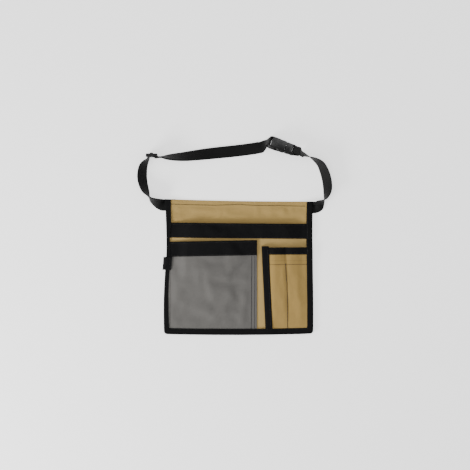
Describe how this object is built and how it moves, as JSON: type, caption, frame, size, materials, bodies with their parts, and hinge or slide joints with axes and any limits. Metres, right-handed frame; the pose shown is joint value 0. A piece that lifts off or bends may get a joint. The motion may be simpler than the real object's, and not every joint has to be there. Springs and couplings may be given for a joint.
{
  "type": "carpenter nail apron",
  "caption": "Waist apron of tan canvas with wide open pockets, a grey pocket and pencil channels, black edge tape and a webbing belt fastened by a side-release buckle, lying front up.",
  "frame": {"origin": "middle of the apron's back, on its underside, which lies on the surface", "axes": "+Z out of the front, +Y towards the belt, +X to the right as the front is seen"},
  "size_m": [0.4174, 0.4271, 0.0324],
  "materials": {
    "tan_canvas": "plain-woven cotton canvas, matt, with brown topstitching",
    "grey_canvas": "plain-woven cotton canvas, matt",
    "black_tape": "ribbed polyester binding tape with a faint sheen",
    "black_webbing": "woven polypropylene webbing with a faint sheen",
    "black_plastic": "moulded acetal, satin"
  },
  "bodies": {
    "root": {"back_panel": "tan_canvas", "big_pocket": "tan_canvas", "pencil_pocket": "tan_canvas", "grey_pocket": "grey_canvas", "edge_binding": "black_tape", "big_pocket_tape": "black_tape", "grey_pocket_tape": "black_tape", "pencil_pocket_top_binding": "black_tape", "pencil_pocket_side_binding": "black_tape", "edge_tab": "black_tape", "long_strap": "black_webbing", "short_strap": "black_webbing", "strap_slide": "black_plastic", "buckle_socket": "black_plastic", "buckle_plug": "black_plastic"}
  },
  "joints": []
}
